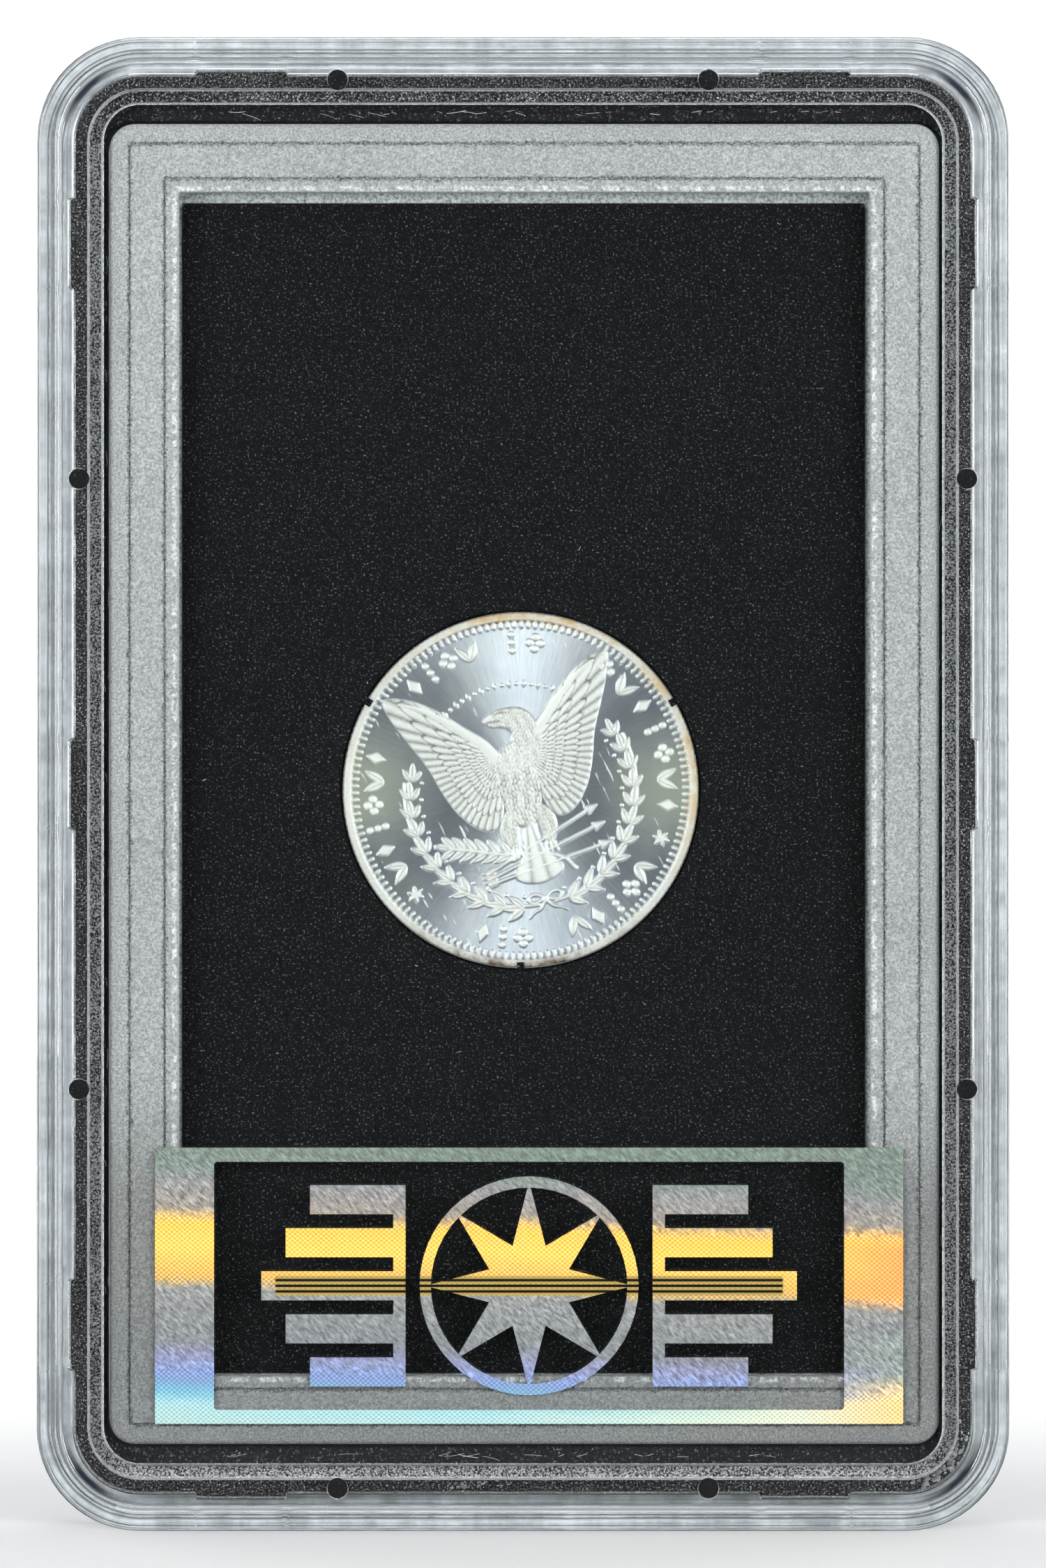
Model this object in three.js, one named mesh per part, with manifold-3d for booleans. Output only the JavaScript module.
// Graded coin slab: a silver-dollar-size coin in a black insert card, sealed in a frosted
// two-part holder, which a black core frame centres inside two welded clear shells.
// Millimetres. X is the width, Y the thickness (the back, or foil side, faces -Y) and +Z is up.
// The origin is the middle of the bottom edge.
import * as THREE from 'three';
import { mergeVertices } from 'three/addons/utils/BufferGeometryUtils.js';
import Module from 'manifold-3d';

const wasm = await Module();
wasm.setup();

// Outer shells
const SLAB_W = 103.7;
const SLAB_H = 159.3;
const SLAB_T = 12.7;
const SLAB_R = 11.0;
const EDGE_R = 0.8;         // round on the outer edge of the stacking rim
const RIM_W = 2.0;          // edge of the slab to the inner edge of the rim's face
const RIM_STEP = 0.6;       // height of the rim above the panel, and the run of its slope
const PANEL_T = 1.8;
const WALL = 3.7;           // edge of the slab to the inside of the wall
const RIB_OUTER = 5.35;     // edge of the slab to the locating rib's outer side
const RIB_INNER = 6.95;
const RIB_DEPTH = 1.35;
const TONGUE = { from: 1.3, to: 2.3, height: 0.8, play: 0.15 };

// Lugs on the core frame, and the pockets for them in the shell walls
const LUG_LENGTH = 9.6;
const LUG_DEPTH = 0.5;
const LUG_X = 30.1;         // lugs on the short edges, either side of the middle
const LUG_Z = 57.8;         // lugs on the long edges, above and below the middle one
const PLAY = 0.3;

// Core frame
const CORE_T = 5.1;
const CORE_R = 7.0;

// Inner holder
const HOLDER_W = 88.7;
const HOLDER_H = 141.2;
const HOLDER_R = 2.7;
const HOLDER_T = 7.2;
const HOLDER_SHIFT_X = 0.15;
const OUTER_STRIP = 2.15;   // holder's edge to the first groove
const INNER_LIP = 1.4;      // second groove to the window's bevel
const BORDER = 7.3;         // holder's edge to the window's bevel
const GROOVE_W = 0.35;
const GROOVE_D = 0.25;
const WINDOW_BEVEL = 0.45;
const WINDOW_T = 1.5;
const POCKET_T = 3.3;       // thickness of the space for the insert card
const SEAM_TONGUE = { from: 3.0, to: 4.2, height: 0.7, play: 0.15 };

// Insert card and coin
const CARD_W = 73.1;
const CARD_H = 125.3;
const CARD_T = 2.9;
const CARD_R = 0.6;
const CARD_SHIFT = [0.07, -0.45];
const COIN_R = 19.05;
const COIN_T = 2.4;
const COIN_SHIFT = [-0.25, -0.65];
const RIM_BAND = 0.9;       // width of the coin's raised rim
const FIELD_DEPTH = 0.2;
const NIB_ANGLES = [30, 150, 270];
const NIB_W = 0.8;
const NIB_REACH = 0.6;      // how far a nib's lip reaches in over the coin's rim
const NIB_LIP = 0.12;

// Foil on the back panel, and the paper label at the same end of the front
const FOIL_T = 0.05;
const FOIL_W = 79.9;
const FOIL_H = 29.5;
const FOIL_SIDE_BAR = 6.3;
const FOIL_LONG_BAR = 1.5;
const FOIL_CENTRE = [0.65, 26.05];
const MEDAL_R = 11.7;
const MEDAL_RING = 1.2;
const STAR_POINTS = 8;
const STAR_WAIST = 4.6;
const WING_BARS = [10.2, 12.8, 15.4, 12.8, 10.2];
const WING_START = 13.2;
const WING_SPINE = 1.3;
const BAR_HEIGHT = 3.1;
const BAR_PITCH = 4.6;
const LABEL_W = 86.0;
const LABEL_H = 31.8;
const LABEL_T = 0.25;
const LABEL_Z = 25.5;
const LABEL_R = 1.0;

// Worked out from the sizes above
const MID_Z = SLAB_H / 2;
const PANEL_OUT = SLAB_T / 2 - RIM_STEP;
const PANEL_IN = PANEL_OUT - PANEL_T;
const CORNER_STEPS = 10;
const BACK = -1;
const FRONT = 1;
const HOLDER_AT = [HOLDER_SHIFT_X, MID_Z];
const COIN_AT = [COIN_SHIFT[0], MID_Z + COIN_SHIFT[1]];

const COLOURS = {
  clear: [0xdfe6ea, 0.06, 0], frosted: [0xbcc0bf, 0.6, 0], core: [0x151515, 0.55, 0],
  card: [0x101010, 0.6, 0], coin: [0xd9d6ca, 0.3, 1], foil: [0xb9b7a2, 0.3, 1],
  paper: [0xf2f1ec, 0.8, 0],
};

function material(name) {
  const [color, roughness, metalness] = COLOURS[name];
  return new THREE.MeshStandardMaterial({ color, roughness, metalness });
}

// One closed loop of a rounded rectangle: x and z of each point, anticlockwise
function roundedLoop(halfW, halfH, radius) {
  const loop = [];
  const corners = [[1, 1], [-1, 1], [-1, -1], [1, -1]];
  corners.forEach(([sideX, sideZ], corner) => {
    for (let step = 0; step <= CORNER_STEPS; step += 1) {
      const angle = (corner + step / CORNER_STEPS) * Math.PI / 2;
      loop.push([
        sideX * (halfW - radius) + radius * Math.cos(angle),
        sideZ * (halfH - radius) + radius * Math.sin(angle),
      ]);
    }
  });
  return loop;
}

// A solid through a list of loops, each [halfW, halfH, radius, y], about centre [x, z].
// Capped, it is a plate or tray; closed on itself, it is a frame with a hole through it.
function loftSolid(levels, centre, capped) {
  const positions = [];
  const index = [];
  const count = 4 * (CORNER_STEPS + 1);
  for (const [halfW, halfH, radius, y] of levels) {
    for (const [x, z] of roundedLoop(halfW, halfH, radius)) {
      positions.push(centre[0] + x, y, centre[1] + z);
    }
  }
  const bands = capped ? levels.length - 1 : levels.length;
  for (let band = 0; band < bands; band += 1) {
    const a = band * count;
    const b = ((band + 1) % levels.length) * count;
    for (let i = 0; i < count; i += 1) {
      const j = (i + 1) % count;
      index.push(a + i, a + j, b + j, a + i, b + j, b + i);
    }
  }
  if (capped) {
    const last = (levels.length - 1) * count;
    for (let i = 1; i < count - 1; i += 1) {
      index.push(0, i + 1, i, last, last + i, last + i + 1);
    }
  }
  return outwardFacing(positions, index);
}

// The same triangles, turned over if the solid they bound is inside out
function outwardFacing(positions, index) {
  let volume = 0;
  const corner = (i) => new THREE.Vector3().fromArray(positions, 3 * index[i]);
  for (let i = 0; i < index.length; i += 3) {
    volume += corner(i).dot(corner(i + 1).cross(corner(i + 2)));
  }
  const faces = volume < 0 ? index.slice().reverse() : index;
  const geometry = new THREE.BufferGeometry();
  geometry.setAttribute('position', new THREE.Float32BufferAttribute(positions, 3));
  geometry.setIndex(faces);
  return geometry;
}

// A flat outline in x and z, made solid between two heights on the Y axis
function plate(shape, yLow, yHigh, curveSegments = 12) {
  const options = { depth: yHigh - yLow, bevelEnabled: false, curveSegments };
  return new THREE.ExtrudeGeometry(shape, options).rotateX(Math.PI / 2).translate(0, yHigh, 0);
}

function block(sizeX, sizeY, sizeZ, x, y, z) {
  return new THREE.BoxGeometry(sizeX, sizeY, sizeZ).translate(x, y, z);
}

function toManifold(geometry) {
  const bare = new THREE.BufferGeometry();
  bare.setAttribute('position', geometry.getAttribute('position').clone());
  if (geometry.index) bare.setIndex(geometry.index.clone());
  const merged = mergeVertices(bare, 1e-4);
  return new wasm.Manifold(new wasm.Mesh({
    numProp: 3,
    vertProperties: new Float32Array(merged.getAttribute('position').array),
    triVerts: new Uint32Array(merged.index.array),
  }));
}

function fromManifold(solid) {
  const mesh = solid.getMesh();
  const geometry = new THREE.BufferGeometry();
  geometry.setAttribute('position', new THREE.BufferAttribute(mesh.vertProperties, 3));
  geometry.setIndex(new THREE.BufferAttribute(mesh.triVerts, 1));
  return geometry;
}

function join(geometries) {
  return fromManifold(geometries.map(toManifold).reduce((a, b) => a.add(b)));
}

function cut(geometry, tools) {
  return fromManifold(tools.map(toManifold).reduce((a, b) => a.subtract(b), toManifold(geometry)));
}

// The ten places round the frame, as [x, z, along X?], that carry a lug and its pocket
function lugPlaces() {
  const sideX = SLAB_W / 2 - WALL;
  const endZ = SLAB_H / 2 - WALL;
  const places = [];
  for (const side of [-1, 1]) {
    for (const x of [-LUG_X, LUG_X]) places.push([x, MID_Z + side * endZ, true]);
    for (const z of [-LUG_Z, 0, LUG_Z]) places.push([side * sideX, MID_Z + z, false]);
  }
  return places;
}

// Blocks across the inside of the wall, from `inward` inside it to `outward` into it
function lugBlocks(length, inward, outward, thickness, y) {
  const size = inward + outward;
  const shift = (outward - inward) / 2;
  return lugPlaces().map(([x, z, alongX]) => (alongX
    ? block(length, thickness, size, x, y, z + Math.sign(z - MID_Z) * shift)
    : block(size, thickness, length, x + Math.sign(x) * shift, y, z)));
}

// Rim, wall, seam and locating rib of one clear shell; the back one carries the tongue
function shell(side) {
  const inset = (d, depth) => [SLAB_W / 2 - d, SLAB_H / 2 - d, SLAB_R - d, side * depth];
  const levels = [inset(RIM_W + RIM_STEP, PANEL_OUT), inset(RIM_W, SLAB_T / 2)];
  for (let step = 0; step <= 4; step += 1) {
    const angle = (step / 4) * Math.PI / 2;
    const d = EDGE_R * (1 - Math.sin(angle));
    levels.push(inset(d, SLAB_T / 2 - EDGE_R * (1 - Math.cos(angle))));
  }
  const grow = side === BACK ? 0 : TONGUE.play;
  const depth = side === BACK ? -TONGUE.height : TONGUE.height + TONGUE.play;
  levels.push(inset(0, 0), inset(TONGUE.from - grow, 0), inset(TONGUE.from - grow, depth));
  levels.push(inset(TONGUE.to + grow, depth), inset(TONGUE.to + grow, 0), inset(WALL, 0));
  levels.push(inset(WALL, PANEL_IN), inset(RIB_OUTER, PANEL_IN));
  levels.push(inset(RIB_OUTER, PANEL_IN - RIB_DEPTH), inset(RIB_INNER, PANEL_IN - RIB_DEPTH));
  levels.push(inset(RIB_INNER, PANEL_IN));
  const body = loftSolid(levels, [0, MID_Z], true);
  const pocketT = PANEL_IN + 1;
  const pocketY = side * (PANEL_IN - pocketT / 2);
  return cut(body, lugBlocks(LUG_LENGTH + 2 * PLAY, 0.5, LUG_DEPTH, pocketT, pocketY));
}

// Black frame that fills the space between the holder and the shells
function coreFrame() {
  const outerW = SLAB_W / 2 - WALL - PLAY;
  const outerH = SLAB_H / 2 - WALL - PLAY;
  const openW = HOLDER_W / 2 + HOLDER_SHIFT_X + 0.1;
  const openH = HOLDER_H / 2 + 0.25;
  const halfT = CORE_T / 2;
  const levels = [
    [outerW, outerH, CORE_R, -halfT], [outerW, outerH, CORE_R, halfT],
    [openW, openH, HOLDER_R, halfT], [openW, openH, HOLDER_R, -halfT],
  ];
  const lugs = lugBlocks(LUG_LENGTH, PLAY + 1, LUG_DEPTH - PLAY, CORE_T, 0);
  return join([loftSolid(levels, [0, MID_Z], false), ...lugs]);
}

// One half of the frosted holder: two grooves round its border, a bevelled clear window
// and half of the space for the insert card; the back half carries the seam's tongue
function holderHalf(side) {
  const loop = (d, depth) => [
    HOLDER_W / 2 - d, HOLDER_H / 2 - d, Math.max(HOLDER_R - d, 0.9), side * depth,
  ];
  const face = HOLDER_T / 2;
  const floor = face - GROOVE_D;
  const windowFace = POCKET_T / 2 + WINDOW_T;
  const lip = BORDER - INNER_LIP;
  const levels = [loop(BORDER + WINDOW_BEVEL, windowFace), loop(BORDER, face)];
  levels.push(loop(lip + GROOVE_W / 2, face), loop(lip, floor), loop(lip - GROOVE_W / 2, face));
  levels.push(loop(OUTER_STRIP + GROOVE_W / 2, face), loop(OUTER_STRIP, floor));
  levels.push(loop(OUTER_STRIP - GROOVE_W / 2, face), loop(0.5, face - 0.1));
  levels.push(loop(0.1, face - 0.35), loop(0, face - 0.8), loop(0, 0));
  const grow = side === BACK ? 0 : SEAM_TONGUE.play;
  const depth = side === BACK ? -SEAM_TONGUE.height : SEAM_TONGUE.height + SEAM_TONGUE.play;
  levels.push(loop(SEAM_TONGUE.from - grow, 0), loop(SEAM_TONGUE.from - grow, depth));
  levels.push(loop(SEAM_TONGUE.to + grow, depth), loop(SEAM_TONGUE.to + grow, 0));
  levels.push(loop(BORDER - 0.1, 0), loop(BORDER - 0.1, POCKET_T / 2));
  return loftSolid(levels, HOLDER_AT, true);
}

function roundedShape(width, height, radius, centre) {
  const points = roundedLoop(width / 2, height / 2, radius);
  return new THREE.Shape(points.map(([x, z]) => new THREE.Vector2(centre[0] + x, centre[1] + z)));
}

// Black card round the coin, with three nibs whose lips reach in over both faces of its rim
function insertCard() {
  const centre = [CARD_SHIFT[0], MID_Z + CARD_SHIFT[1]];
  const outline = roundedShape(CARD_W, CARD_H, CARD_R, centre);
  const holeR = COIN_R + PLAY;
  const hole = new THREE.Path();
  hole.absarc(COIN_AT[0], COIN_AT[1], holeR, 0, 2 * Math.PI, true);
  outline.holes.push(hole);
  const pieces = [plate(outline, -CARD_T / 2, CARD_T / 2, 48)];
  const reach = PLAY + NIB_REACH;
  for (const angle of NIB_ANGLES) {
    for (const side of [BACK, FRONT]) {
      const lip = block(reach + 0.5, NIB_LIP, NIB_W, 0, side * (CARD_T - NIB_LIP) / 2, 0);
      lip.translate(holeR - reach + (reach + 0.5) / 2, 0, 0);
      lip.rotateY(-angle * Math.PI / 180).translate(COIN_AT[0], 0, COIN_AT[1]);
      pieces.push(lip);
    }
  }
  return join(pieces);
}

// Coin with a raised rim round a sunk field on both faces
function coinSolid() {
  const half = COIN_T / 2;
  const fieldR = COIN_R - RIM_BAND;
  const edge = 0.15;
  const upper = [
    [COIN_R, half - edge], [COIN_R - edge, half], [fieldR, half],
    [fieldR - 0.3, half - FIELD_DEPTH], [0, half - FIELD_DEPTH],
  ];
  const lower = upper.map(([r, y]) => [r, -y]).reverse();
  const profile = [...lower, ...upper].map(([r, y]) => new THREE.Vector2(r, y));
  return new THREE.LatheGeometry(profile, 96).translate(COIN_AT[0], 0, COIN_AT[1]);
}

function foil(shape) {
  return plate(shape, -PANEL_IN, -PANEL_IN + FOIL_T, 24);
}

function foilFrame() {
  const outline = roundedShape(FOIL_W, FOIL_H, 0.15, FOIL_CENTRE);
  const openW = FOIL_W - 2 * FOIL_SIDE_BAR;
  const openH = FOIL_H - 2 * FOIL_LONG_BAR;
  outline.holes.push(roundedShape(openW, openH, 0.4, FOIL_CENTRE));
  return foil(outline);
}

// Ring with a star inside it whose tips join the ring
function foilMedallion() {
  const ring = new THREE.Shape().absarc(FOIL_CENTRE[0], FOIL_CENTRE[1], MEDAL_R, 0, 2 * Math.PI);
  const hole = new THREE.Path();
  hole.absarc(FOIL_CENTRE[0], FOIL_CENTRE[1], MEDAL_R - MEDAL_RING, 0, 2 * Math.PI, true);
  ring.holes.push(hole);
  const star = [];
  for (let i = 0; i < 2 * STAR_POINTS; i += 1) {
    const angle = (i * Math.PI) / STAR_POINTS + Math.PI / 2;
    const radius = i % 2 ? STAR_WAIST : MEDAL_R - MEDAL_RING / 2;
    star.push(new THREE.Vector2(
      FOIL_CENTRE[0] + radius * Math.cos(angle),
      FOIL_CENTRE[1] + radius * Math.sin(angle),
    ));
  }
  return join([foil(ring), foil(new THREE.Shape(star))]);
}

// Five level bars on an upright spine, like a stepped wing
function foilWing(side) {
  const middle = (WING_BARS.length - 1) / 2;
  const y = -PANEL_IN + FOIL_T / 2;
  const [centreX, centreZ] = FOIL_CENTRE;
  const spineX = centreX + side * (WING_START + WING_SPINE / 2);
  const spineH = 2 * middle * BAR_PITCH + BAR_HEIGHT;
  const pieces = [block(WING_SPINE, FOIL_T, spineH, spineX, y, centreZ)];
  WING_BARS.forEach((length, i) => {
    const x = centreX + side * (WING_START + length / 2);
    pieces.push(block(length, FOIL_T, BAR_HEIGHT, x, y, centreZ + (i - middle) * BAR_PITCH));
  });
  return join(pieces);
}

function labelCard() {
  const shape = roundedShape(LABEL_W, LABEL_H, LABEL_R, [0, LABEL_Z]);
  const yHigh = PANEL_IN - 0.02;
  return plate(shape, yHigh - LABEL_T, yHigh);
}

const slab = new THREE.Group();

function addPiece(name, geometry, materialName) {
  const mesh = new THREE.Mesh(geometry, material(materialName));
  mesh.name = name;
  slab.add(mesh);
}

addPiece('shell_back', shell(BACK), 'clear');
addPiece('shell_front', shell(FRONT), 'clear');
addPiece('core_frame', coreFrame(), 'core');
addPiece('inner_holder_back', holderHalf(BACK), 'frosted');
addPiece('inner_holder_front', holderHalf(FRONT), 'frosted');
addPiece('insert_card', insertCard(), 'card');
addPiece('coin', coinSolid(), 'coin');
addPiece('foil_frame', foilFrame(), 'foil');
addPiece('foil_medallion', foilMedallion(), 'foil');
addPiece('foil_wing_left', foilWing(-1), 'foil');
addPiece('foil_wing_right', foilWing(1), 'foil');
addPiece('label_card', labelCard(), 'paper');

export default slab;
